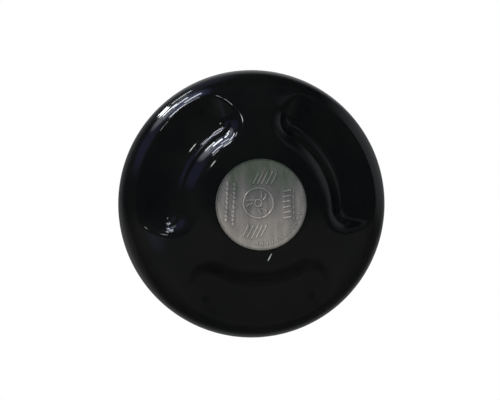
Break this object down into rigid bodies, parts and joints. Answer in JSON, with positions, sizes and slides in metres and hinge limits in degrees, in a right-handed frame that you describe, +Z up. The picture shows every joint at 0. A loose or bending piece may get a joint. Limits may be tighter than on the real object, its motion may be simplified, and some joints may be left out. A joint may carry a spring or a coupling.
{
  "type": "ceiling fan motor",
  "caption": "Hanging ceiling fan motor: a domed rotor shell with blade seats and a round badge turns on ball bearings around a fixed hollow shaft.",
  "frame": {"origin": "middle of the cross hole through the top of the shaft, where the downrod is pinned", "axes": "+Z up along the shaft, away from the badge; +X through the middle of one blade seat"},
  "size_m": [0.19, 0.19, 0.1325],
  "materials": {
    "black_paint": "die-cast aluminium under gloss black paint",
    "badge_aluminium": "brushed and embossed sheet",
    "adhesive": "double-sided film",
    "shaft_steel": "turned and ground",
    "electrical_steel": "stacked sheet, varnished",
    "cast_aluminium": "as cast",
    "copper_main": "enamelled copper wire, varnished",
    "copper_auxiliary": "enamelled copper wire, varnished",
    "insulator_board": "pressed board",
    "bearing_steel": "ground and lapped",
    "shield_steel": "pressed sheet",
    "cage_plastic": "moulded nylon",
    "spring_steel": "blackened spring steel",
    "zinc_steel": "zinc plated",
    "socket_plastic": "moulded nylon",
    "lead_sleeve": "extruded sleeve"
  },
  "bodies": {
    "stator": {"shaft": "shaft_steel", "stator_core": "electrical_steel", "upper_end_insulator": "insulator_board", "lower_end_insulator": "insulator_board", "core_rivets": "zinc_steel", "slot_wedges": "insulator_board", "main_winding": "copper_main", "auxiliary_winding": "copper_auxiliary", "upper_bearing_inner_race": "bearing_steel", "lower_bearing_inner_race": "bearing_steel", "upper_retaining_ring": "spring_steel", "lower_retaining_ring": "spring_steel", "motor_leads": "lead_sleeve", "lead_socket": "socket_plastic"},
    "rotor": {"lower_cover": "black_paint", "upper_cover": "black_paint", "badge_plate": "badge_aluminium", "badge_adhesive": "adhesive", "rotor_core": "electrical_steel", "rotor_cage": "cast_aluminium", "cover_screws": "zinc_steel", "cover_screw_washers": "zinc_steel", "upper_bearing_outer_race": "bearing_steel", "lower_bearing_outer_race": "bearing_steel", "upper_bearing_shields": "shield_steel", "lower_bearing_shields": "shield_steel", "bearing_preload_washer": "spring_steel"},
    "upper_ball_set": {"upper_bearing_balls": "bearing_steel", "upper_bearing_cage": "cage_plastic"},
    "lower_ball_set": {"lower_bearing_balls": "bearing_steel", "lower_bearing_cage": "cage_plastic"}
  },
  "joints": [
    {"name": "rotor_spin", "type": "hinge", "parent": "stator", "child": "rotor", "pos_m": [0, 0, -0.068], "axis": [0, 0, 1], "continuous": true},
    {"name": "upper_ball_set_spin", "type": "hinge", "parent": "stator", "child": "upper_ball_set", "pos_m": [0, 0, -0.037], "axis": [0, 0, 1], "continuous": true},
    {"name": "lower_ball_set_spin", "type": "hinge", "parent": "stator", "child": "lower_ball_set", "pos_m": [0, 0, -0.1035], "axis": [0, 0, 1], "continuous": true}
  ],
  "couplings": [
    {"joint": "upper_ball_set_spin", "follows": "rotor_spin", "ratio": 0.6185},
    {"joint": "lower_ball_set_spin", "follows": "rotor_spin", "ratio": 0.6191}
  ]
}
